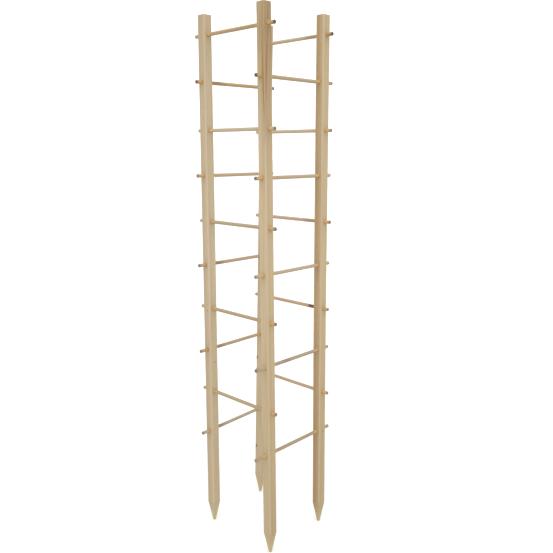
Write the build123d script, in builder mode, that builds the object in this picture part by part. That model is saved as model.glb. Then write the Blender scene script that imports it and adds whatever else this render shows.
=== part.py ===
from build123d import *
import os

# Garden obelisk: a tall square frame for climbing plants.
# Four pointed wooden posts stand at the corners. Round dowel rungs are pushed right through
# them, five on each face, and stand out past the posts at both ends.
# Millimetres, +Z up. The origin is on the ground, at the middle of the footprint.
# The front is the -Y face, and left and right are as seen from there.

# Overall frame
height = 1800.0            # ground to the tops of the posts
span_x = 285.0             # between post centre lines across the front and back faces
span_y = 265.0             # between post centre lines across the left and right faces

# Posts
post_size = 33.0           # across the flats of the square section
post_round = 3.5           # radius of the four long arrises
top_bevel = 1.0            # small bevel round the flat top
point_length = 81.0        # height of the four sloping cuts at the foot
point_end = 7.0            # side of the blunt square that the cuts leave
point_bevel = 1.0          # worn edge of the blunt end
ground_allowance = 1.0     # made over-long by this at the foot, then cut level with the ground

# Rungs
rung_diameter = 12.0
rung_bevel = 0.8           # broken edge at each end
hole_diameter = 12.4       # drilled a little over the dowel
rung_pitch = 306.5         # between rungs of one face
rungs_per_face = 5
top_rung_x = 1737.0        # height of the highest rung of the front and back faces
top_rung_y = 1587.0        # height of the highest rung of the left and right faces

# Each post by its corner, and how far its top leans out of plumb over its foot, in X and Y.
# The frame is held only by the dowels in their holes, so three posts lean a little.
corners = {
    "front_left": (-1, -1),
    "front_right": (1, -1),
    "back_left": (-1, 1),
    "back_right": (1, 1),
}
lean = {
    "front_left": (0.0, 0.0),
    "front_right": (-12.0, -8.0),
    "back_left": (41.0, 7.0),
    "back_right": (-6.0, 4.0),
}

# Each face by the two posts that its rungs join, and the height of its top rung
faces = {
    "front": ("front_left", "front_right", top_rung_x),
    "back": ("back_left", "back_right", top_rung_x),
    "left": ("front_left", "back_left", top_rung_y),
    "right": ("front_right", "back_right", top_rung_y),
}
# How far each rung stands out past the outer faces of its first and second post, top rung first
stubs = {
    "front": ((28.5, 30.0), (22.0, 27.0), (23.0, 24.5), (25.5, 21.0), (25.0, 18.5)),
    "back": ((25.0, 24.0), (28.0, 23.0), (23.5, 22.5), (22.5, 18.5), (15.0, 20.0)),
    "left": ((22.5, 18.5), (27.0, 22.5), (30.0, 29.5), (32.5, 33.0), (33.0, 48.0)),
    "right": ((21.0, 29.5), (29.5, 25.0), (35.5, 23.5), (40.5, 23.5), (48.0, 31.5)),
}


def post_centre(post, z):
    """The point on a post's centre line at height z."""
    side_x, side_y = corners[post]
    lean_x, lean_y = lean[post]
    up = z / height - 0.5
    return Vector(side_x * span_x / 2 + lean_x * up, side_y * span_y / 2 + lean_y * up, z)


def rung_height(face, number):
    """The height of a rung, numbered from 0 at the top."""
    return faces[face][2] - rung_pitch * number


def rung_direction(face, z):
    """The unit vector along the rungs of a face, from its first post to its second."""
    first, second, _ = faces[face]
    return (post_centre(second, z) - post_centre(first, z)).normalized()


def rungs_through(post):
    """The face and height of every rung that passes through a post."""
    for face, (first, second, _) in faces.items():
        if post in (first, second):
            for number in range(rungs_per_face):
                yield face, rung_height(face, number)


os.makedirs("parts", exist_ok=True)

# Posts: a round-arrised square stick, cut to a point by four slopes and drilled for the rungs
slope_growth = (post_size - point_end) / point_length
for post_name in corners:
    foot = post_centre(post_name, 0)
    stick = post_centre(post_name, height) - foot
    stick_plane = Plane(origin=foot, x_dir=(1, 0, 0), z_dir=stick.normalized())
    with BuildPart() as post:
        with BuildSketch(stick_plane.offset(-ground_allowance)):
            RectangleRounded(post_size, post_size, post_round)
        extrude(amount=stick.length + ground_allowance)
        chamfer(post.edges().group_by(Axis.Z)[-1], top_bevel)

        # The four sloping cuts run on upwards past the stick, so they only shape its foot
        for level in (-ground_allowance, height + point_length):
            side = point_end + slope_growth * level
            with BuildSketch(stick_plane.offset(level)):
                Rectangle(side, side)
        loft(mode=Mode.INTERSECT)
        split(bisect_by=Plane.XY, keep=Keep.TOP)
        chamfer(post.edges().group_by(Axis.Z)[0], point_bevel)

        for face, z in rungs_through(post_name):
            with BuildSketch(Plane(origin=post_centre(post_name, z), z_dir=rung_direction(face, z))):
                Circle(hole_diameter / 2)
            extrude(amount=post_size, both=True, mode=Mode.SUBTRACT)
    post.part.label = f"post_{post_name}"
    export_step(post.part, f"parts/post_{post_name}.step")

# Rungs: straight dowels with broken ends
for face, (first, second, _) in faces.items():
    for number, (first_stub, second_stub) in enumerate(stubs[face]):
        z = rung_height(face, number)
        along = rung_direction(face, z)
        start = post_centre(first, z) - along * (post_size / 2 + first_stub)
        end = post_centre(second, z) + along * (post_size / 2 + second_stub)
        with BuildPart() as rung:
            with BuildSketch(Plane(origin=start, z_dir=along)):
                Circle(rung_diameter / 2)
            extrude(amount=(end - start).length)
            chamfer(rung.edges().filter_by(GeomType.CIRCLE), rung_bevel)
        rung.part.label = f"rung_{face}_{number + 1}"
        export_step(rung.part, f"parts/rung_{face}_{number + 1}.step")
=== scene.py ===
import bmesh
import bpy
from math import pi, radians, sin
from mathutils import Matrix, Vector, geometry, noise


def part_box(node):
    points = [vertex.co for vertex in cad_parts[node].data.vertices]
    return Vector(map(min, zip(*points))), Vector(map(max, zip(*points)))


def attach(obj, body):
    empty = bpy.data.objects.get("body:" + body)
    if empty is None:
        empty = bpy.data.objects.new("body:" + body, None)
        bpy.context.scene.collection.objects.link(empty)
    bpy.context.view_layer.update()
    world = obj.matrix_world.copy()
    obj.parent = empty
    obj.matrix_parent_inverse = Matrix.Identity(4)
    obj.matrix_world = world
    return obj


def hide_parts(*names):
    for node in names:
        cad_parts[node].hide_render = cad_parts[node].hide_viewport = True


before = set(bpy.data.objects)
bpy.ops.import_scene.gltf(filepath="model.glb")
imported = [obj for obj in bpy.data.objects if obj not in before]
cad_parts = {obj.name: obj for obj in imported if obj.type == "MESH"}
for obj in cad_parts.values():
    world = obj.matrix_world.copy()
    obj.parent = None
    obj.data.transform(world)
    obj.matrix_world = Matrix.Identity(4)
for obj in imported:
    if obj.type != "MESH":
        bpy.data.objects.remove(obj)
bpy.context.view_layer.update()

# Garden obelisk: four pointed pine posts and twenty dowel rungs that are pushed through them.
# Metres, +Z up. Every stick is modelled upright about its own middle line, then set in its place.

millimetre = 0.001


# Reading the frame

def middleLine(node, endZone=2.2 * millimetre):
    # The two ends of a stick's middle line, from the points within endZone of each of its ends
    corners = [vertex.co.copy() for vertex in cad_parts[node].data.vertices]
    low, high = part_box(node)
    size = high - low
    longWay = max(range(3), key=lambda axis: size[axis])

    def middleOf(level):
        ring = [corner for corner in corners if abs(corner[longWay] - level) < endZone]
        return Vector([(min(c[i] for c in ring) + max(c[i] for c in ring)) / 2 for i in range(3)])

    first, last = middleOf(low[longWay]), middleOf(high[longWay])
    along = (last - first).normalized()
    reach = [(corner - first).dot(along) for corner in corners]
    return first + along * min(reach), first + along * max(reach)


def placeOf(first, last, side):
    # Local +Z runs along the stick and local +X lies towards side
    along = (last - first).normalized()
    across = along.cross(side).normalized()
    turned = Matrix((across.cross(along), across, along)).transposed()
    return Matrix.Translation(first) @ turned.to_4x4()


postNodes = sorted(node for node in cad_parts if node.startswith("post_"))
rungNodes = sorted(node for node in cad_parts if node.startswith("rung_"))
lines = {node: middleLine(node) for node in postNodes + rungNodes}
plumbLow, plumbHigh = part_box("post_front_left")
postSide = plumbHigh.x - plumbLow.x
rungLow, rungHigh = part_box("rung_front_1")
rungWide = rungHigh.z - rungLow.z
rungHeights = {node: (lines[node][0].z + lines[node][1].z) / 2 for node in rungNodes}
rungPitch = rungHeights["rung_front_1"] - rungHeights["rung_front_2"]
rungsPerFace = len(rungNodes) // 4


def passesThrough(rungNode, postNode):
    # A rung belongs to a post when their middle lines all but meet
    start, end = lines[rungNode]
    low, high = lines[postNode]
    across = (end - start).cross(high - low).normalized()
    return abs((low - start).dot(across)) < postSide / 4


def nearestPoint(rungNode, postNode):
    # Where a rung's middle line passes closest to a post's
    return geometry.intersect_line_line(*lines[rungNode], *lines[postNode])[0]


print("frame read:", len(postNodes), "posts,", len(rungNodes), "rungs")


# The studio: a pale floor under an even sky, and one wide soft light from the front corner
studio = {
    "floorSize": 120.0,
    "floorSquares": 8,
    "floorTone": (0.72, 0.72, 0.72, 1),
    "floorRoughness": 0.9,
    "skyStrength": 1.3,
    "keyStrength": 1.5,
    "keySpread": 75,                     # degrees across, as seen from the object
    "keyFrom": (1.0, -1.0, 2.0),
    "level": 1.42,                       # how much light an upright face sends back
}


# Shader node helpers

class Nodes:
    # Adds nodes to one tree and links them by name
    def __init__(self, tree):
        self.tree = tree

    def add(self, kind, **settings):
        node = self.tree.nodes.new(kind)
        for name, value in settings.items():
            setattr(node, name, value)
        return node

    def feed(self, node, socket, value):
        target = node.inputs[socket]
        if isinstance(value, bpy.types.NodeSocket):
            self.tree.links.new(value, target)
        else:
            target.default_value = value

    def maths(self, operation, *values, clamp=False):
        node = self.add("ShaderNodeMath", operation=operation, use_clamp=clamp)
        for number, value in enumerate(values):
            self.feed(node, number, value)
        return node.outputs[0]

    def vector(self, operation, *values, result="Vector"):
        node = self.add("ShaderNodeVectorMath", operation=operation)
        for number, value in enumerate(values):
            self.feed(node, number, value)
        return node.outputs[result]

    def scaled(self, value, factor):
        node = self.add("ShaderNodeVectorMath", operation="SCALE")
        self.feed(node, 0, value)
        self.feed(node, "Scale", factor)
        return node.outputs["Vector"]

    def ramp(self, value, low, high, bottom=0.0, top=1.0):
        node = self.add("ShaderNodeMapRange", interpolation_type="SMOOTHSTEP")
        for socket, number in zip(("Value", "From Min", "From Max", "To Min", "To Max"),
                                  (value, low, high, bottom, top)):
            self.feed(node, socket, number)
        return node.outputs["Result"]

    def speckle(self, place, size, seed, detail=2.0, output="Fac"):
        # Noise with its own size along each local axis, in metres
        stretched = self.vector("DIVIDE", place, size)
        node = self.add("ShaderNodeTexNoise", noise_dimensions="4D")
        self.feed(node, "Vector", stretched)
        self.feed(node, "W", seed)
        self.feed(node, "Scale", 1.0)
        self.feed(node, "Detail", detail)
        return node.outputs[output]

    def centred(self, value, amount):
        # A value from 0 to 1 made to swing evenly about zero
        return self.maths("MULTIPLY", self.maths("SUBTRACT", value, 0.5), amount)

    def split(self, place):
        node = self.add("ShaderNodeSeparateXYZ")
        self.feed(node, 0, place)
        return node.outputs

    def tint(self, blend, amount, base, other):
        node = self.add("ShaderNodeMix", data_type="RGBA", blend_type=blend)
        self.feed(node, "Factor", amount)
        colours = [socket for socket in node.inputs if socket.type == "RGBA"]
        for socket, value in zip(colours, (base, other)):
            if isinstance(value, bpy.types.NodeSocket):
                self.tree.links.new(value, socket)
            else:
                socket.default_value = value
        return next(socket for socket in node.outputs if socket.type == "RGBA")

    def tintWhere(self, mask, amount, base, other, blend="MIX"):
        return self.tint(blend, self.maths("MULTIPLY", mask, amount), base, other)

    def graded(self, value, levels, powers=(1, 1, 1)):
        # Tones for a value from 0 up, from a dictionary of value and level; each channel has its power
        node = self.add("ShaderNodeValToRGB")
        stops = node.color_ramp.elements
        highest = max(levels)
        for number, (at, level) in enumerate(levels.items()):
            stop = stops[number] if number < 2 else stops.new(at / highest)
            stop.position = at / highest
            stop.color = (*(level ** power for power in powers), 1)
        self.feed(node, "Fac", self.maths("DIVIDE", value, highest))
        return node.outputs["Color"]

    def place(self, group, **values):
        # One of the shared groups, with this material's own values
        node = self.add("ShaderNodeGroup", node_tree=group)
        for name, value in values.items():
            self.feed(node, name, value)
        return node.outputs

    def giveOut(self, leave, **results):
        for name, result in results.items():
            self.tree.links.new(result, leave[name])


def newGroup(name, inputs, outputs):
    group = bpy.data.node_groups.new(name, "ShaderNodeTree")
    kinds = {"float": "NodeSocketFloat", "vector": "NodeSocketVector", "colour": "NodeSocketColor"}
    for socket, kind in inputs.items():
        group.interface.new_socket(socket, in_out="INPUT", socket_type=kinds[kind])
    for socket, kind in outputs.items():
        group.interface.new_socket(socket, in_out="OUTPUT", socket_type=kinds[kind])
    nodes = Nodes(group)
    entry = nodes.add("NodeGroupInput").outputs
    leave = nodes.add("NodeGroupOutput").inputs
    return group, nodes, entry, leave


def colour(red, green, blue):
    # Colours are given as they look on an upright face in this studio, 0 to 255; shaders take them linear
    def linear(value):
        value /= 255
        return (value / 12.92 if value <= 0.04045 else ((value + 0.055) / 1.055) ** 2.4) / studio["level"]
    return linear(red), linear(green), linear(blue), 1.0


# Shared effects. Noise sizes are in metres on each local axis of a stick, the last one along it.
# A range of four is where a ramp starts and ends, then its values there.

grainLook = {
    "ringSway": (0.05, 0.05, 0.42),
    "ringPatches": (0.009, 0.009, 0.9),  # where the rings show more or less
    "streaks": (0.0035, 0.0035, 0.45),
    "slowTone": (0.06, 0.06, 0.55),
    "fibres": (0.0008, 0.0008, 0.035),
    "flecks": (0.0007, 0.0007, 0.012),
    "hues": (0.0045, 0.0045, 0.16),
    "seedSteps": {"streaks": 3.7, "slowTone": 7.1, "hues": 5.3},
    # One ring from its early wood to its late wood, which ends sharply
    "ringTones": {0.0: 0.12, 0.12: 0.0, 0.55: 0.18, 0.84: 0.85, 0.93: 1.0, 1.0: 0.05},
    "patchRange": (0.3, 0.7, 0.35, 1.0),
    "fleckRange": (0.66, 0.78),
    "streakShare": 0.7,                  # the rest of the tone comes from slow changes
    "fibreDepth": 0.16,
    "fleckDepth": 0.07,
    "redSwing": 0.22,                    # how the hue noise moves red one way and blue the other
    "blueSwing": -0.42,
    "redPower": 0.85,                    # darker wood is browner too
    "bluePower": 1.25,
}


def buildPineGrain():
    # Growth rings round a pith that runs beside the stick, with fibres and slow changes of tone
    look = grainLook
    group, nodes, entry, leave = newGroup(
        "pineGrain",
        {"Place": "vector", "Pith": "vector", "Drift": "vector", "Ring Width": "float", "Waver": "float",
         "Ring Strength": "float", "Streak Strength": "float", "Seed": "float",
         "Early Wood": "colour", "Late Wood": "colour"},
        {"Color": "colour", "Late": "float", "Fibre": "float", "Streak": "float"})
    place, seed = entry["Place"], entry["Seed"]

    def layer(name, **settings):
        step = look["seedSteps"].get(name)
        ownSeed = nodes.maths("ADD", seed, step) if step else seed
        return nodes.speckle(place, look[name], ownSeed, **settings)

    sway = nodes.vector("SUBTRACT", layer("ringSway", detail=2.5, output="Color"), (0.5, 0.5, 0.5))
    sway = nodes.scaled(sway, entry["Waver"])
    pith = nodes.vector("ADD", entry["Pith"], nodes.scaled(entry["Drift"], nodes.split(place)[2]))
    fromPith = nodes.vector("SUBTRACT", nodes.vector("ADD", place, sway), pith)
    rings = nodes.add("ShaderNodeTexWave", wave_type="RINGS", rings_direction="Z", wave_profile="SAW")
    nodes.feed(rings, "Vector", fromPith)
    nodes.feed(rings, "Scale", nodes.maths("DIVIDE", pi / 10, entry["Ring Width"]))
    ringTone = nodes.graded(rings.outputs["Fac"], look["ringTones"])
    late = nodes.maths("MULTIPLY", ringTone, nodes.ramp(layer("ringPatches"), *look["patchRange"]))
    mixed = nodes.tintWhere(late, entry["Ring Strength"], entry["Early Wood"], entry["Late Wood"])

    streak = layer("streaks", detail=3.0)
    fibre = layer("fibres", detail=3.0)
    flecks = nodes.ramp(layer("flecks", detail=0.0), *look["fleckRange"])
    tone = nodes.maths("ADD", nodes.maths("MULTIPLY", streak, look["streakShare"]),
                       nodes.maths("MULTIPLY", layer("slowTone"), 1 - look["streakShare"]))
    grey = nodes.maths("ADD", nodes.centred(tone, entry["Streak Strength"]),
                       nodes.centred(fibre, look["fibreDepth"]))
    grey = nodes.maths("SUBTRACT", nodes.maths("ADD", grey, 1.0),
                       nodes.maths("MULTIPLY", flecks, look["fleckDepth"]))
    hue = nodes.maths("SUBTRACT", layer("hues", detail=3.0), 0.5)
    red = nodes.maths("MULTIPLY_ADD", hue, look["redSwing"], nodes.maths("POWER", grey, look["redPower"]))
    blue = nodes.maths("MULTIPLY_ADD", hue, look["blueSwing"],
                       nodes.maths("POWER", grey, look["bluePower"]))
    shade = nodes.add("ShaderNodeCombineXYZ")
    for number, channel in enumerate((red, grey, blue)):
        nodes.feed(shade, number, channel)
    nodes.giveOut(leave, Color=nodes.vector("MULTIPLY", mixed, shade.outputs[0]), Late=late, Fibre=fibre,
                  Streak=streak)
    return group


knotLook = {
    "ragged": (0.004, 0.004, 0.006),
    "raggedDepth": 0.7,
    "squash": (1.0, 1.0, 0.7),           # a knot looks taller than it is wide
    "depth": (0.012, 0.022),             # metres in from its middle, over which it fades out
    "edge": (0.8, 1.25),                 # in radii from the middle, as are the next three
    "rimAt": 0.95,
    "rimSpread": (0.05, 0.35),
    "bendReach": (0.6, 5.0),
}


def buildKnot():
    # A branch that crosses the stick: the grain bends round it, and it is darker at its rim
    look = knotLook
    group, nodes, entry, leave = newGroup(
        "knot",
        {"Place": "vector", "Centre": "vector", "Plane": "vector", "Radius": "float", "Bend": "float",
         "Seed": "float"},
        {"Place": "vector", "Mask": "float", "Rim": "float"})
    offset = nodes.vector("SUBTRACT", entry["Place"], entry["Centre"])
    inPlane = nodes.vector("MULTIPLY", offset, entry["Plane"])
    depth = nodes.vector("LENGTH", nodes.vector("SUBTRACT", offset, inPlane), result="Value")
    near = nodes.ramp(depth, *look["depth"], 1.0, 0.0)
    distance = nodes.vector("LENGTH", nodes.vector("MULTIPLY", inPlane, look["squash"]), result="Value")
    ragged = nodes.speckle(entry["Place"], look["ragged"], entry["Seed"])
    reach = nodes.maths("ADD", nodes.maths("DIVIDE", distance, entry["Radius"]),
                        nodes.centred(ragged, look["raggedDepth"]))
    mask = nodes.maths("MULTIPLY", nodes.ramp(reach, *look["edge"], 1.0, 0.0), near)
    fromRim = nodes.maths("ABSOLUTE", nodes.maths("SUBTRACT", reach, look["rimAt"]))
    rim = nodes.maths("MULTIPLY", nodes.ramp(fromRim, *look["rimSpread"], 1.0, 0.0), near)
    bend = nodes.maths("MULTIPLY", nodes.ramp(reach, *look["bendReach"], 1.0, 0.0),
                       nodes.maths("MULTIPLY", near, entry["Bend"]))
    bent = nodes.vector("SUBTRACT", entry["Place"], nodes.scaled(inPlane, bend))
    nodes.giveOut(leave, Place=bent, Mask=mask, Rim=rim)
    return group


lensLook = {
    "sway": (0.05, 0.05, 0.09),
    "swayDepth": 5 * millimetre,
    "edge": (0.35, 1.0),                 # in reaches from the middle, over which it fades out
    "threads": (0.0022, 0.0022, 0.12),
    "threadRange": (0.30, 0.55, 0.4, 1.0),
}


def buildLensMark():
    # A long lens that fades out along the grain: heartwood or resin on the posts, stains and painted shade
    # on the rungs
    look = lensLook
    group, nodes, entry, leave = newGroup(
        "lensMark",
        {"Place": "vector", "Centre": "vector", "Lean": "vector", "Reach": "vector", "Seed": "float"},
        {"Mask": "float"})
    sway = nodes.speckle(entry["Place"], look["sway"], entry["Seed"], output="Color")
    sway = nodes.scaled(nodes.vector("SUBTRACT", sway, (0.5, 0.5, 0.5)), look["swayDepth"])
    offset = nodes.vector("SUBTRACT", nodes.vector("ADD", entry["Place"], sway), entry["Centre"])
    offset = nodes.vector("SUBTRACT", offset, nodes.scaled(entry["Lean"], nodes.split(offset)[2]))
    spread = nodes.vector("LENGTH", nodes.vector("DIVIDE", offset, entry["Reach"]), result="Value")
    threads = nodes.speckle(entry["Place"], look["threads"], entry["Seed"])
    mask = nodes.maths("MULTIPLY", nodes.ramp(spread, *look["edge"], 1.0, 0.0),
                       nodes.ramp(threads, *look["threadRange"]))
    nodes.giveOut(leave, Mask=mask)
    return group


wearAndHighlightLook = {
    "patches": (0.006, 0.006, 0.09),
    "patchDepth": 0.07,
    "corner": (0.84, 0.93),              # |x| + |y| in shares of the side, where the pale corner (wear and painted highlight) starts and is full
}


def buildArrisWearAndHighlight():
    # The rounded corners of a square stick, painted pale: partly where handling rubs them, partly a painted
    # highlight
    look = wearAndHighlightLook
    group, nodes, entry, leave = newGroup(
        "arrisWearAndHighlight", {"Place": "vector", "Side": "float", "Seed": "float"}, {"Mask": "float"})
    parts = nodes.split(entry["Place"])
    corner = nodes.maths("ADD", nodes.maths("ABSOLUTE", parts[0]), nodes.maths("ABSOLUTE", parts[1]))
    patch = nodes.speckle(entry["Place"], look["patches"], entry["Seed"], detail=3.0)
    share = nodes.maths("ADD", nodes.maths("DIVIDE", corner, entry["Side"]),
                        nodes.centred(patch, look["patchDepth"]))
    nodes.giveOut(leave, Mask=nodes.ramp(share, *look["corner"]))
    return group


haloLook = {
    "patches": (0.005, 0.005, 0.02),
    "patchDepth": 0.9,
    "stretch": 0.7,                      # under 1, the stain reaches further along the grain than across
    "fade": (-0.1, 1.0),
}


def buildHoleHalo():
    # Stained and rubbed wood round the drilled holes, which repeat at an even pitch
    look = haloLook
    group, nodes, entry, leave = newGroup(
        "holeHalo",
        {"Place": "vector", "Across": "vector", "Top Height": "float", "Pitch": "float", "Count": "float",
         "Radius": "float", "Spread": "float", "Seed": "float"},
        {"Mask": "float"})
    height = nodes.split(entry["Place"])[2]
    below = nodes.maths("DIVIDE", nodes.maths("SUBTRACT", entry["Top Height"], height), entry["Pitch"])
    nearest = nodes.maths("MINIMUM", nodes.maths("MAXIMUM", nodes.maths("ROUND", below), 0.0),
                          nodes.maths("SUBTRACT", entry["Count"], 1.0))
    rise = nodes.maths("MULTIPLY", nodes.maths("SUBTRACT", below, nearest), entry["Pitch"])
    side = nodes.vector("DOT_PRODUCT", entry["Place"], entry["Across"], result="Value")
    squared = nodes.maths("ADD", nodes.maths("POWER", nodes.maths("MULTIPLY", rise, look["stretch"]), 2.0),
                          nodes.maths("POWER", nodes.maths("ABSOLUTE", side), 2.0))
    away = nodes.maths("DIVIDE", nodes.maths("SUBTRACT", nodes.maths("SQRT", squared), entry["Radius"]),
                       entry["Spread"])
    patch = nodes.speckle(entry["Place"], look["patches"], entry["Seed"], detail=3.0)
    away = nodes.maths("ADD", away, nodes.centred(patch, look["patchDepth"]))
    nodes.giveOut(leave, Mask=nodes.ramp(away, *look["fade"], 1.0, 0.0))
    return group


# How far a face turns from the side of a stick towards its end, as the cosine, for each of two masks
cutLook = {"end": (0.25, 0.62), "slope": (0.08, 0.15)}


def buildCutEnd():
    # How squarely a face is cut across the fibres: 0 on the sides, 1 on a sawn end
    group, nodes, entry, leave = newGroup(
        "cutEnd", {"Along": "vector"}, {"End": "float", "Slope": "float"})
    normal = nodes.add("ShaderNodeNewGeometry").outputs["True Normal"]
    facing = nodes.maths("ABSOLUTE", nodes.vector("DOT_PRODUCT", normal, entry["Along"], result="Value"))
    masks = {"End": nodes.ramp(facing, *cutLook["end"]), "Slope": nodes.ramp(facing, *cutLook["slope"])}
    nodes.giveOut(leave, **masks)
    return group


pineGrain = buildPineGrain()
knot = buildKnot()
lensMark = buildLensMark()
arrisWearAndHighlight = buildArrisWearAndHighlight()
holeHalo = buildHoleHalo()
cutEnd = buildCutEnd()
print("wood effects built")


def startMaterial(name):
    material = bpy.data.materials.new(name)
    material.use_nodes = True
    nodes = Nodes(material.node_tree)
    shader = next(node for node in material.node_tree.nodes if node.type == "BSDF_PRINCIPLED")
    return material, nodes, shader


def stickCoordinates(nodes, placement):
    # Object coordinates turned so that Z runs up this stick's middle line
    mapping = nodes.add("ShaderNodeMapping", vector_type="TEXTURE")
    mapping.inputs["Location"].default_value = placement.to_translation()
    mapping.inputs["Rotation"].default_value = placement.to_euler()
    nodes.feed(mapping, "Vector", nodes.add("ShaderNodeTexCoord").outputs["Object"])
    return mapping.outputs["Vector"]


woodFinish = {
    "fibreRoughness": 0.22,
    "endRoughness": 0.15,
    "specular": 0.12,
    "fibreHeight": 0.7,
    "ringHeight": 0.35,
    "bumpStrength": 0.55,
    "bumpDepth": 0.25 * millimetre,
}


def finishWood(nodes, shader, base, grain, roughness, endMask):
    look = woodFinish
    nodes.feed(shader, "Base Color", base)
    rough = nodes.maths("ADD", nodes.maths("MULTIPLY", grain["Fibre"], look["fibreRoughness"]),
                        roughness - look["fibreRoughness"] / 2)
    rough = nodes.maths("ADD", rough, nodes.maths("MULTIPLY", endMask, look["endRoughness"]), clamp=True)
    nodes.feed(shader, "Roughness", rough)
    shader.inputs["Specular IOR Level"].default_value = look["specular"]
    height = nodes.maths("ADD", nodes.maths("MULTIPLY", grain["Fibre"], look["fibreHeight"]),
                         nodes.maths("MULTIPLY", grain["Late"], look["ringHeight"]))
    bump = nodes.add("ShaderNodeBump")
    bump.inputs["Strength"].default_value = look["bumpStrength"]
    bump.inputs["Distance"].default_value = look["bumpDepth"]
    nodes.feed(bump, "Height", height)
    nodes.feed(shader, "Normal", bump.outputs["Normal"])


# Posts

postShape = {
    "arrisRadius": 3.5 * millimetre,
    "arrisSteps": 4,
    "topBevel": 0.7 * millimetre,
    "topGap": 0.02 * millimetre,         # keeps the unevenness of the top inside the designed height
    "pointLength": 81 * millimetre,
    "pointEnd": 7 * millimetre,
    "ridgeWear": 0.6 * millimetre,
    "ridgeAngle": 35,                    # degrees; edges of the point that turn more than this are ridges
    "rowHeight": 4.5 * millimetre,
    "columnWidth": 4 * millimetre,
    "bow": 0.35 * millimetre,            # how far a stick wanders from straight
    "bowWaves": 1.6,                     # noise waves to the metre, as all waves are
    "planing": 0.12 * millimetre,        # hollows and high spots that the planer left
    "planingWaves": (60, 14),            # across and along the stick
    "arrisDents": 0.45 * millimetre,
    "dentWaves": (20, 55),
    "holeClearance": 0.2 * millimetre,
    "holeSides": 40,
    "holeTear": 0.35 * millimetre,
    "tearDepth": 0.6 * millimetre,       # how far in from a face the wood can tear
    "tearWaves": 700,
    "tearShare": 0.2,                    # more of the rim is torn as this grows
    "rimTolerance": 0.02 * millimetre,
}

postLook = {
    "streakStrength": 0.50,
    "waver": 0.012,                      # how far the pith wanders, in metres
    "tinge": (1, 1.15, 1.5),             # the darker stretches of a post are browner too
    "figuredStretch": (1.36, 1.66),      # grain is plain below the first height, figured above the second
    "shadedFaceFade": (-0.012, 0.0165),        # across the stick, where the painted shade on one face starts and is full
    "knotBend": 0.55,
    "knotDepth": 0.85,
    "knotRimDepth": 0.7,
    "haloDepth": 0.55,
    "haloSpread": 5 * millimetre,
    "slopeLightFade": (0.015, 0.075, 0.5, 0.1),  # painted light on the sawn slopes, strongest at the tip of the point, against the shade they get facing down
    "endDepth": 0.62,
    "roughness": 0.66,
}

# The wood of each post: where its pith ran, how wide its rings are, how light it is at each height, the
# painted shade on one of its faces and that shade's colour, how figured it is and how pale its corners are
# painted (wear and painted highlight) low down and high up, and its marks. A knot is its place, the face
# it shows on and its radius. A heart streak is its middle, lean, reach and strength.
postWood = {
    "post_front_left": {
        "seed": 1.3, "pith": (-0.034, -0.052, 0.0), "drift": (0.004, 0.006, 0.0), "ringWidth": 0.0034,
        "bend": (0.0, 0.0),
        "early": colour(205, 187, 156), "late": colour(178, 150, 114),
        "tones": {0.0: 0.87, 0.45: 0.91, 1.05: 1.0, 1.5: 0.96, 1.8: 0.90},
        "shadedFace": ((-0.8, -0.6, 0), 0.60), "shadedFaceWood": colour(188, 169, 142), "figure": (0.40, 0.55),
        "worn": (0.30, 0.30),
        "knots": [((0.004, -0.016, 0.81), "front", 0.0016), ((0.016, 0.003, 0.62), "side", 0.0016)],
        "heart": []},
    "post_front_right": {
        "seed": 4.1, "pith": (-0.018, 0.022, 0.0), "drift": (-0.010, 0.010, 0.0), "ringWidth": 0.0036,
        "bend": (0.0, 0.0),
        "early": colour(206, 188, 154), "late": colour(178, 150, 113),
        "tones": {0.0: 0.83, 0.45: 0.89, 1.0: 0.98, 1.35: 0.93, 1.6: 0.82, 1.8: 0.75},
        "shadedFace": ((1, 0.4, 0), 0.35), "shadedFaceWood": colour(188, 160, 122), "figure": (0.42, 1.0),
        "worn": (0.24, 0.06),
        "knots": [],
        "heart": [((0.0165, -0.0070, 1.625), (0.0, 0.055, 0.0), (0.005, 0.0038, 0.24), 0.8),
                  ((0.0095, -0.0165, 1.580), (-0.035, 0.0, 0.0), (0.0032, 0.005, 0.25), 0.6),
                  ((0.0145, -0.0150, 1.440), (0.02, 0.0, 0.0), (0.0040, 0.005, 0.10), 0.4),
                  ((0.0140, -0.0140, 1.640), (0.0, 0.0, 0.0), (0.010, 0.010, 0.24), 0.32),
                  ((-0.003, -0.0165, 1.700), (0.03, 0.0, 0.0), (0.0030, 0.004, 0.09), 0.6),
                  ((0.0165, 0.0110, 1.680), (0.0, 0.04, 0.0), (0.004, 0.0030, 0.10), 0.5)]},
    "post_back_left": {
        "seed": 7.7, "pith": (-0.040, -0.030, 0.0), "drift": (0.008, 0.002, 0.0), "ringWidth": 0.0032,
        "bend": (0.0, 0.0),
        "early": colour(202, 182, 150), "late": colour(172, 143, 109),
        "tones": {0.0: 0.94, 0.6: 0.98, 1.2: 1.0, 1.8: 0.93},
        "shadedFace": ((1, 0.4, 0), 0.2), "shadedFaceWood": colour(184, 156, 118), "figure": (0.42, 0.55),
        "worn": (0.24, 0.24),
        "knots": [((-0.012, -0.016, 0.571), "front", 0.0042), ((-0.010, -0.016, 0.200), "front", 0.0036)],
        "heart": []},
    "post_back_right": {
        "seed": 9.2, "pith": (0.030, -0.048, 0.0), "drift": (-0.006, 0.008, 0.0), "ringWidth": 0.0036,
        "bend": (-0.0013, -0.0013),
        "early": colour(202, 182, 146), "late": colour(173, 143, 104),
        "tones": {0.0: 0.80, 0.4: 0.85, 0.9: 0.93, 1.4: 0.95, 1.8: 0.92},
        "shadedFace": ((-1, -0.3, 0), 0.62), "shadedFaceWood": colour(178, 140, 96), "figure": (0.42, 0.6),
        "worn": (0.26, 0.26),
        "knots": [((0.016, 0.002, 0.36), "side", 0.0020)],
        "heart": [((0.001, -0.0165, 0.945), (0.0, 0.0, 0.0), (0.006, 0.005, 0.05), 0.35)]},
}

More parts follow.
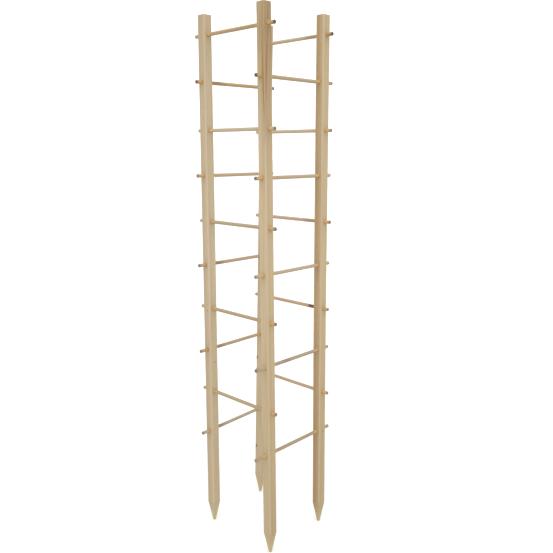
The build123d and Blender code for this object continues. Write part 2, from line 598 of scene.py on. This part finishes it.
knotPlanes = {"front": (1, 0, 1), "side": (0, 1, 1)}
knotWood = colour(134, 92, 60)
knotRim = colour(104, 66, 42)
heartWood = colour(152, 110, 66)
haloWood = colour(206, 168, 110)
# Pale corners: partly rubbed wear, partly painted highlight
wornWood = colour(222, 203, 174)
slopeLightWood = colour(208, 191, 144)      # painted light on the sawn slopes of the points
endWood = colour(150, 116, 82)

# Which way lies across the holes of the front and back rungs, then of the side ones, and their top height
holeRows = (((0, 1, 0), rungHeights["rung_front_1"]), ((1, 0, 0), rungHeights["rung_left_1"]))


def relative(shade, to):
    # The colour that turns one wood into another when multiplied by it
    return tuple(part / whole for part, whole in zip(shade, to))


def makePostMaterial(name, placement):
    wood, look = postWood[name], postLook
    seed = wood["seed"]
    material, nodes, shader = startMaterial("pine_" + name)
    place = straight = stickCoordinates(nodes, placement)
    height = nodes.split(straight)[2]
    knots = []
    for centre, facing, radius in wood["knots"]:
        mark = nodes.place(knot, Place=place, Centre=centre, Plane=knotPlanes[facing], Radius=radius,
                           Bend=look["knotBend"], Seed=seed)
        place = mark["Place"]
        knots.append((mark["Mask"], mark["Rim"]))

    figure = nodes.ramp(height, *look["figuredStretch"], *wood["figure"])
    grain = nodes.place(pineGrain, **{
        "Place": place, "Pith": wood["pith"], "Drift": wood["drift"], "Waver": look["waver"], "Seed": seed,
        "Ring Width": wood["ringWidth"], "Ring Strength": figure,
        "Streak Strength": look["streakStrength"],
        "Early Wood": wood["early"], "Late Wood": wood["late"]})
    base = nodes.tint("MULTIPLY", 1.0, grain["Color"], nodes.graded(height, wood["tones"], look["tinge"]))
    # Painted shade: one face of each post is painted darker and browner
    towards, amount = wood["shadedFace"]
    sideways = nodes.vector("DOT_PRODUCT", straight, towards, result="Value")
    base = nodes.tint("MULTIPLY", nodes.ramp(sideways, *look["shadedFaceFade"], 0.0, amount), base,
                      relative(wood["shadedFaceWood"], wood["early"]))
    for centre, lean, reach, amount in wood["heart"]:
        heart = nodes.place(lensMark, Place=straight, Centre=centre, Lean=lean, Reach=reach, Seed=seed)
        base = nodes.tintWhere(heart["Mask"], amount, base, heartWood)

    for across, top in holeRows:
        halo = nodes.place(holeHalo, **{
            "Place": straight, "Across": across, "Top Height": top, "Pitch": rungPitch,
            "Count": rungsPerFace, "Radius": rungWide / 2, "Spread": look["haloSpread"], "Seed": seed})
        base = nodes.tintWhere(halo["Mask"], look["haloDepth"], base, haloWood)
    # Pale corners painted on the posts: partly wear, partly painted highlight, more or less at each height
    worn = nodes.place(arrisWearAndHighlight, Place=straight, Side=postSide, Seed=seed)["Mask"]
    base = nodes.tintWhere(worn, nodes.ramp(height, *look["figuredStretch"], *wood["worn"]), base, wornWood)
    for mask, rim in knots:
        base = nodes.tintWhere(mask, look["knotDepth"], base, knotWood)
        base = nodes.tintWhere(rim, look["knotRimDepth"], base, knotRim)
    cut = nodes.place(cutEnd, Along=placement.to_3x3().col[2])
    # Painted light: the sawn slopes are painted lighter, most near the tip
    base = nodes.tintWhere(cut["Slope"], nodes.ramp(height, *look["slopeLightFade"]), base, slopeLightWood)
    base = nodes.tintWhere(cut["End"], look["endDepth"], base, endWood, blend="MULTIPLY")
    finishWood(nodes, shader, base, grain, look["roughness"], cut["End"])
    return material


def cutAway(shape, point, normal):
    # Saws off what lies beyond a plane and closes the cut
    everything = shape.verts[:] + shape.edges[:] + shape.faces[:]
    bmesh.ops.bisect_plane(shape, geom=everything, plane_co=point, plane_no=normal, clear_outer=True)
    rim = [edge for edge in shape.edges if edge.is_boundary]
    bmesh.ops.contextual_create(shape, geom=rim)


def scoreAcross(shape, point, normal):
    # Leaves a line of edges where a plane crosses the stick
    everything = shape.verts[:] + shape.edges[:] + shape.faces[:]
    bmesh.ops.bisect_plane(shape, geom=everything, plane_co=point, plane_no=normal)


def cutPoint(shape, settings):
    run = (postSide - settings["pointEnd"]) / 2
    for side in (Vector((1, 0, 0)), Vector((-1, 0, 0)), Vector((0, 1, 0)), Vector((0, -1, 0))):
        slope = side * settings["pointLength"] - Vector((0, 0, run))
        cutAway(shape, side * settings["pointEnd"] / 2, slope.normalized())


def wearRidges(shape, settings, lowest):
    # The four ridges of the point are rubbed a little round, but not the rim of its blunt foot
    ridges = []
    for edge in shape.edges:
        low, high = sorted(vertex.co.z for vertex in edge.verts)
        onPoint = low < settings["pointLength"] / 2 and lowest < high < settings["pointLength"]
        if onPoint and edge.calc_face_angle(0) > radians(settings["ridgeAngle"]):
            ridges.append(edge)
    bmesh.ops.bevel(shape, geom=ridges, offset=settings["ridgeWear"], segments=2, affect="EDGES",
                    profile=0.5, material=-1)


def addRows(shape, settings, length):
    # Enough rows and columns to carry the unevenness of real timber
    steps = int(postSide / 2 / settings["columnWidth"])
    for number in range(-steps + 1, steps):
        level = number * settings["columnWidth"]
        scoreAcross(shape, (level, 0, 0), (1, 0, 0))
        scoreAcross(shape, (0, level, 0), (0, 1, 0))
    level = settings["rowHeight"]
    while level < settings["pointLength"] + settings["rowHeight"]:
        scoreAcross(shape, (0, 0, level), (0, 0, 1))
        level += settings["rowHeight"]
    longEdges = [edge for edge in shape.edges if edge.calc_length() > length / 2]
    bmesh.ops.subdivide_edges(shape, edges=longEdges, cuts=int(length / settings["rowHeight"]))


def stickNoise(spot, waves, shift):
    # Smooth noise with so many waves to the metre across and along a stick
    across, along = waves
    return noise.noise(Vector((spot.x * across + shift[0], spot.y * across + shift[1],
                               spot.z * along + shift[2])))


def weatherPost(shape, settings, wood, length):
    # The stick wanders a little, its faces aren't quite flat, and its long edges are dented
    flat = postSide / 2 - settings["arrisRadius"]
    seed = wood["seed"]
    bend = Vector(wood["bend"] + (0,))
    elsewhere = Vector((9, 0, 0))        # another stretch of the same noise
    for vertex in shape.verts:
        spot = vertex.co.copy()
        slow = Vector((seed, seed * 2.0, spot.z * settings["bowWaves"]))
        bow = Vector((noise.noise(slow), noise.noise(slow + elsewhere), 0)) * settings["bow"]
        bow += bend * sin(pi * min(max(spot.z / length, 0), 1))
        outward = Vector((spot.x, spot.y, 0))
        if outward.length < settings["pointEnd"] / 4:
            vertex.co += bow
            continue
        outward.normalize()
        depth = settings["planing"] * stickNoise(spot, settings["planingWaves"], (seed, 0, 0))
        corner = min(abs(spot.x), abs(spot.y)) - flat
        if corner > -settings["columnWidth"] / 2:
            dent = stickNoise(spot, settings["dentWaves"], (seed, seed, 0))
            depth -= settings["arrisDents"] * max(0.0, dent)
        vertex.co += bow + outward * depth


def drill(piece, placement, axes, settings, seed):
    # The holes are cut right through, and their rims are torn a little as a drill leaves them
    drills = bmesh.new()
    radius = rungWide / 2 + settings["holeClearance"]
    inverse = placement.inverted()
    local = [(inverse @ first, inverse @ last) for first, last in axes]
    for first, last in local:
        turn = (last - first).to_track_quat("Z", "Y").to_matrix().to_4x4()
        near = (first + last) / 2
        offset = (last - first).normalized()
        centre = near - offset * near.dot(offset)
        bmesh.ops.create_cone(drills, cap_ends=True, segments=settings["holeSides"], radius1=radius,
                              radius2=radius, depth=postSide * 2, matrix=Matrix.Translation(centre) @ turn)
    drillMesh = bpy.data.meshes.new("drills")
    drills.to_mesh(drillMesh)
    drills.free()
    drillObject = bpy.data.objects.new("drills", drillMesh)
    bpy.context.scene.collection.objects.link(drillObject)
    cut = piece.modifiers.new("holes", "BOOLEAN")
    cut.operation = "DIFFERENCE"
    cut.solver = "EXACT"
    cut.object = drillObject
    ready = piece.evaluated_get(bpy.context.evaluated_depsgraph_get())
    drilled = bpy.data.meshes.new_from_object(ready)
    piece.modifiers.clear()
    piece.data = drilled
    bpy.data.objects.remove(drillObject)
    shape = bmesh.new()
    shape.from_mesh(drilled)
    for first, last in local:
        direction = (last - first).normalized()
        for vertex in shape.verts:
            arm = vertex.co - first
            away = arm - direction * arm.dot(direction)
            onRim = abs(away.length - radius) < settings["rimTolerance"]
            fromMiddle = max(abs(vertex.co.x), abs(vertex.co.y))
            if onRim and fromMiddle > postSide / 2 - settings["tearDepth"]:
                chip = noise.noise(vertex.co * settings["tearWaves"] + Vector((seed, 0, 0)))
                tear = settings["holeTear"] * max(0.0, chip + settings["tearShare"])
                outward = Vector((vertex.co.x, vertex.co.y, 0)).normalized()
                vertex.co += (away.normalized() - outward / 2) * tear
    shape.to_mesh(drilled)
    shape.free()


def newPiece(name, shape):
    mesh = bpy.data.meshes.new(name)
    shape.to_mesh(mesh)
    shape.free()
    piece = bpy.data.objects.new(name, mesh)
    bpy.context.scene.collection.objects.link(piece)
    return piece


crispAngle = 38                          # degrees; edges that turn more than this stay crisp


def settle(piece, placement, material, node):
    # Sets a finished piece in its place in the frame
    mesh = piece.data
    mesh.transform(placement)
    mesh.materials.clear()
    mesh.materials.append(material)
    mesh.shade_smooth()
    mesh.set_sharp_from_angle(angle=radians(crispAngle))
    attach(piece, "root")
    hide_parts(node)


def makePost(name):
    settings = postShape
    first, last = lines[name]
    placement = placeOf(first, last, Vector((1, 0, 0)))
    length = (last - first).length - settings["topGap"]
    spare = 1 * millimetre               # hangs below the tip, until the foot is cut level
    shape = bmesh.new()
    bmesh.ops.create_cube(shape, size=1)
    bmesh.ops.scale(shape, vec=(postSide, postSide, length + spare), verts=shape.verts)
    bmesh.ops.translate(shape, vec=(0, 0, (length - spare) / 2), verts=shape.verts)
    upright = [edge for edge in shape.edges if edge.calc_length() > length / 2]
    bmesh.ops.bevel(shape, geom=upright, offset=settings["arrisRadius"], segments=settings["arrisSteps"],
                    affect="EDGES", profile=0.5, material=-1)
    topRim = [edge for edge in shape.edges if min(vertex.co.z for vertex in edge.verts) > length / 2]
    bmesh.ops.bevel(shape, geom=topRim, offset=settings["topBevel"], segments=2, affect="EDGES",
                    profile=0.5, material=-1)
    cutPoint(shape, settings)
    ground = placement.inverted()
    cutAway(shape, ground @ Vector((0, 0, 0)), ground.to_3x3() @ Vector((0, 0, -1)))
    wearRidges(shape, settings, spare)
    addRows(shape, settings, length)
    weatherPost(shape, settings, postWood[name], length)
    bmesh.ops.recalc_face_normals(shape, faces=shape.faces)
    piece = newPiece("pine_" + name, shape)
    axes = [lines[node] for node in rungNodes if passesThrough(node, name)]
    drill(piece, placement, axes, settings, postWood[name]["seed"])
    settle(piece, placement, makePostMaterial(name, placement), name)
    print("post made:", name, "with", len(axes), "holes,", len(piece.data.polygons), "faces")


# Rungs

rungShape = {
    "sides": 32,
    "endBevel": 0.8 * millimetre,
    "rowLength": 5 * millimetre,
    "endRings": 2,
    "endRingWidth": 0.3,                 # of the radius
    "flutes": 0.09 * millimetre,         # fine lines that the dowel cutter left
    "fluteWaves": (6, 5),                # round the dowel, and to the metre along it
    "oval": 0.1 * millimetre,
    "ovalWaves": (1, 9),
    "endFuzz": 0.25 * millimetre,
    "fuzzWaves": (500, 10),
    "fuzzRange": (0.4, 0.6),             # the least of it, and how much noise adds
    "fuzzAtRim": 0.5,                    # the rim has this much less than the middle
    "endZone": 0.1 * millimetre,
}

rungLook = {
    "ringWidth": 0.0024,
    "ringStrength": 0.5,
    "streakStrength": 0.45,
    "waver": 0.006,
    "drift": (0.01, 0.012, 0),
    "pithAway": 0.012,                   # how far the pith is from the middle, in metres
    "pithSpread": (0.004, 0.014),
    "pressedReach": 34 * millimetre,     # near a hole a dowel is warmer, where it was pressed home
    "pressedFade": (0.8, 1.5),
    "pressedWander": 0.016,
    "pressedDepth": 0.7,
    "stainAndShadeWidth": 0.03,
    "soiledReach": 8 * millimetre,       # the last stretch of the sides is soiled like the sawn ends
    "soiledShare": 0.75,
    "roughness": 0.6,
    "firstSeed": 11.3,
    "seedStep": 1.7,
}

# How each dowel looks beside the others: its early wood, then its late wood
dowelTones = {
    "pale": (colour(197, 179, 151), colour(172, 149, 119)),
    "straw": (colour(191, 170, 138), colour(164, 139, 105)),
    "tan": (colour(186, 164, 131), colour(158, 131, 97)),
    "honey": (colour(183, 157, 117), colour(154, 123, 85)),
    "rose": (colour(193, 165, 137), colour(164, 131, 103)),
    "grey": (colour(184, 168, 144), colour(156, 138, 115)),
}

# Each rung's dowel, and how much lighter or darker than its kind it is
rungTone = {
    "rung_front_1": ("honey", 1.05), "rung_front_2": ("pale", 1.0), "rung_front_3": ("straw", 0.94),
    "rung_front_4": ("tan", 0.94), "rung_front_5": ("straw", 0.84),
    "rung_back_1": ("straw", 1.07), "rung_back_2": ("pale", 1.1), "rung_back_3": ("rose", 1.12),
    "rung_back_4": ("rose", 1.0), "rung_back_5": ("straw", 1.0),
    "rung_left_1": ("honey", 1.16), "rung_left_2": ("straw", 1.08), "rung_left_3": ("rose", 1.0),
    "rung_left_4": ("tan", 1.0), "rung_left_5": ("grey", 1.0),
    "rung_right_1": ("tan", 1.0), "rung_right_2": ("straw", 1.0), "rung_right_3": ("pale", 0.89),
    "rung_right_4": ("grey", 0.86), "rung_right_5": ("tan", 0.85),
}

# Brown stains on a few dowels, and on the left rungs painted shade from the front left post near their
# first end: how far along from the first end, how far they reach each way, how dark
rungStainsAndShade = {
    "rung_back_1": ((0.345, 0.030, 0.40), (0.262, 0.050, 0.30)),
    "rung_back_3": ((0.275, 0.045, 0.30),),
    "rung_back_4": ((0.288, 0.022, 0.90),),
    # On the left rungs the mark near the first end is painted shade from the front left post
    "rung_left_1": ((0.068, 0.065, 0.50), (0.330, 0.020, 0.45)),
    "rung_left_3": ((0.066, 0.060, 0.45),),
    "rung_left_4": ((0.066, 0.060, 0.40),),
    "rung_left_5": ((0.070, 0.050, 0.45),),
    "rung_right_4": ((0.140, 0.030, 0.22),),
}
# The colour of the stains, and of the painted shade on the left rungs
stainAndShadeWood = colour(102, 62, 36)
pressedWood = colour(215, 174, 112)

# The sawn ends are dark, the upper rungs' more so, by the rung's number; a few are paler than their row
sawnEndWood = colour(106, 78, 54)
endDarkness = {"1": 0.76, "2": 0.46, "3": 0.45, "4": 0.45, "5": 0.36}
paleEnds = {"rung_right_3": 0.30, "rung_right_5": 0.12, "rung_back_4": 0.25, "rung_back_5": 0.30}


def makeRungMaterial(name, placement, seed):
    look = rungLook
    kind, level = rungTone[name]
    early, late = (tuple(part * level for part in shade[:3]) + (1.0,) for shade in dowelTones[kind])
    material, nodes, shader = startMaterial("pine_" + name)
    place = stickCoordinates(nodes, placement)
    spreadX, spreadY = look["pithSpread"]
    pith = (look["pithAway"] + spreadX * noise.noise(Vector((seed, 1, 2))),
            spreadY * noise.noise(Vector((seed, 5, 2))), 0)
    grain = nodes.place(pineGrain, **{
        "Place": place, "Pith": pith, "Drift": look["drift"], "Waver": look["waver"], "Seed": seed,
        "Ring Width": look["ringWidth"], "Ring Strength": look["ringStrength"],
        "Streak Strength": look["streakStrength"], "Early Wood": early, "Late Wood": late})
    base = grain["Color"]
    along = nodes.split(place)[2]
    for postNode in postNodes:
        if passesThrough(name, postNode):
            hole = (placement.inverted() @ nearestPoint(name, postNode)).z
            away = nodes.maths("ABSOLUTE", nodes.maths("SUBTRACT", along, hole))
            away = nodes.maths("ADD", away, nodes.maths("MULTIPLY", grain["Streak"], look["pressedWander"]))
            start, end = (look["pressedReach"] * share for share in look["pressedFade"])
            near = nodes.ramp(away, start, end, look["pressedDepth"], 0.0)
            base = nodes.tint("MIX", near, base, pressedWood)
    # Stains, and painted shade from the front left post on the left rungs
    for middle, reach, amount in rungStainsAndShade.get(name, ()):
        stainAndShade = nodes.place(lensMark, Place=place, Centre=(0, 0, middle), Lean=(0, 0, 0),
                            Reach=(look["stainAndShadeWidth"], look["stainAndShadeWidth"], reach), Seed=seed)
        base = nodes.tintWhere(stainAndShade["Mask"], amount, base, stainAndShadeWood)

    first, last = lines[name]
    half = (last - first).length / 2
    soiled = look["soiledReach"]
    fromMiddle = nodes.maths("ADD", nodes.maths("ABSOLUTE", nodes.maths("SUBTRACT", along, half)),
                             nodes.maths("MULTIPLY", grain["Streak"], soiled))
    darkness = paleEnds.get(name, endDarkness[name[-1]])
    soil = nodes.ramp(fromMiddle, half - soiled / 2, half + soiled / 2, 0.0, darkness * look["soiledShare"])
    base = nodes.tint("MIX", soil, base, sawnEndWood)
    cut = nodes.place(cutEnd, Along=placement.to_3x3().col[2])
    base = nodes.tintWhere(cut["End"], darkness, base, sawnEndWood)
    finishWood(nodes, shader, base, grain, look["roughness"], cut["End"])
    return material


def weatherRung(shape, settings, seed, length):
    # The sawn ends are fuzzy, and the sides have cutter lines and aren't quite round
    least, added = settings["fuzzRange"]
    for vertex in shape.verts:
        spot = vertex.co.copy()
        outward = Vector((spot.x, spot.y, 0))
        if min(spot.z, length - spot.z) < settings["endZone"]:
            fuzz = least + added * stickNoise(spot, settings["fuzzWaves"], (0, 0, seed))
            rimShare = settings["fuzzAtRim"] * outward.length / (rungWide / 2)
            inwards = 1 if spot.z < length / 2 else -1
            vertex.co.z += inwards * settings["endFuzz"] * fuzz * (1.0 - rimShare)
            continue
        outward.normalize()
        turned = Vector((outward.x, outward.y, spot.z))
        flute = stickNoise(turned, settings["fluteWaves"], (seed, 0, 0))
        squash = stickNoise(turned, settings["ovalWaves"], (seed, 0, 0))
        vertex.co += outward * (settings["flutes"] * flute - settings["oval"] * max(0.0, squash))


def makeRung(name, seed):
    settings = rungShape
    first, last = lines[name]
    placement = placeOf(first, last, Vector((0, 0, 1)))
    length = (last - first).length
    radius = rungWide / 2
    shape = bmesh.new()
    bmesh.ops.create_cone(shape, cap_ends=True, segments=settings["sides"], radius1=radius, radius2=radius,
                          depth=length, matrix=Matrix.Translation((0, 0, length / 2)))
    rims = [edge for edge in shape.edges if edge.calc_length() < length / 2]
    bmesh.ops.bevel(shape, geom=rims, offset=settings["endBevel"], segments=2, affect="EDGES",
                    profile=0.5, material=-1)
    longEdges = [edge for edge in shape.edges if edge.calc_length() > length / 2]
    bmesh.ops.subdivide_edges(shape, edges=longEdges, cuts=int(length / settings["rowLength"]))
    ends = [face for face in shape.faces if len(face.verts) == settings["sides"]]
    for _ in range(settings["endRings"]):
        bmesh.ops.inset_region(shape, faces=ends, thickness=radius * settings["endRingWidth"])
    bmesh.ops.poke(shape, faces=ends)
    weatherRung(shape, settings, seed, length)
    bmesh.ops.recalc_face_normals(shape, faces=shape.faces)
    piece = newPiece("pine_" + name, shape)
    settle(piece, placement, makeRungMaterial(name, placement, seed), name)


for postNode in postNodes:
    makePost(postNode)
for number, rungNode in enumerate(rungNodes):
    makeRung(rungNode, rungLook["firstSeed"] + rungLook["seedStep"] * number)
print("rungs made:", len(rungNodes))


# Floor, light and camera

camera = {
    "place": (1.552, -1.542, 1.366),
    "downward": 10.09,                   # degrees below level
    "heading": 43.63,                    # degrees from +Y towards -X
    "lens": 41.44,
    "sensor": 36,
    "shift": (-0.0101, -0.0237),
    "clip": (0.05, 200),
}


def makeFloor():
    shape = bmesh.new()
    squares = studio["floorSquares"]
    bmesh.ops.create_grid(shape, x_segments=squares, y_segments=squares, size=studio["floorSize"] / 2)
    floor = newPiece("studio_floor", shape)
    material, _, shader = startMaterial("studio_paper")
    shader.inputs["Base Color"].default_value = studio["floorTone"]
    shader.inputs["Roughness"].default_value = studio["floorRoughness"]
    shader.inputs["Specular IOR Level"].default_value = 0.0
    floor.data.materials.append(material)


def makeLight():
    world = bpy.data.worlds.new("studio_sky")
    world.use_nodes = True
    backdrop = world.node_tree.nodes["Background"]
    backdrop.inputs["Color"].default_value = (1, 1, 1, 1)
    backdrop.inputs["Strength"].default_value = studio["skyStrength"]
    bpy.context.scene.world = world
    lamp = bpy.data.lights.new("key", "SUN")
    lamp.energy = studio["keyStrength"]
    lamp.angle = radians(studio["keySpread"])
    key = bpy.data.objects.new("key", lamp)
    key.rotation_euler = Vector(studio["keyFrom"]).to_track_quat("Z", "Y").to_euler()
    bpy.context.scene.collection.objects.link(key)


def makeCamera():
    lens = bpy.data.cameras.new("camera")
    lens.sensor_width = camera["sensor"]
    lens.lens = camera["lens"]
    lens.shift_x, lens.shift_y = camera["shift"]
    lens.clip_start, lens.clip_end = camera["clip"]
    view = bpy.data.objects.new("camera", lens)
    view.location = camera["place"]
    view.rotation_euler = (radians(90 - camera["downward"]), 0, radians(camera["heading"]))
    bpy.context.scene.collection.objects.link(view)
    bpy.context.scene.camera = view


makeFloor()
makeLight()
makeCamera()
bpy.context.scene.view_settings.view_transform = "Standard"
print("studio ready")
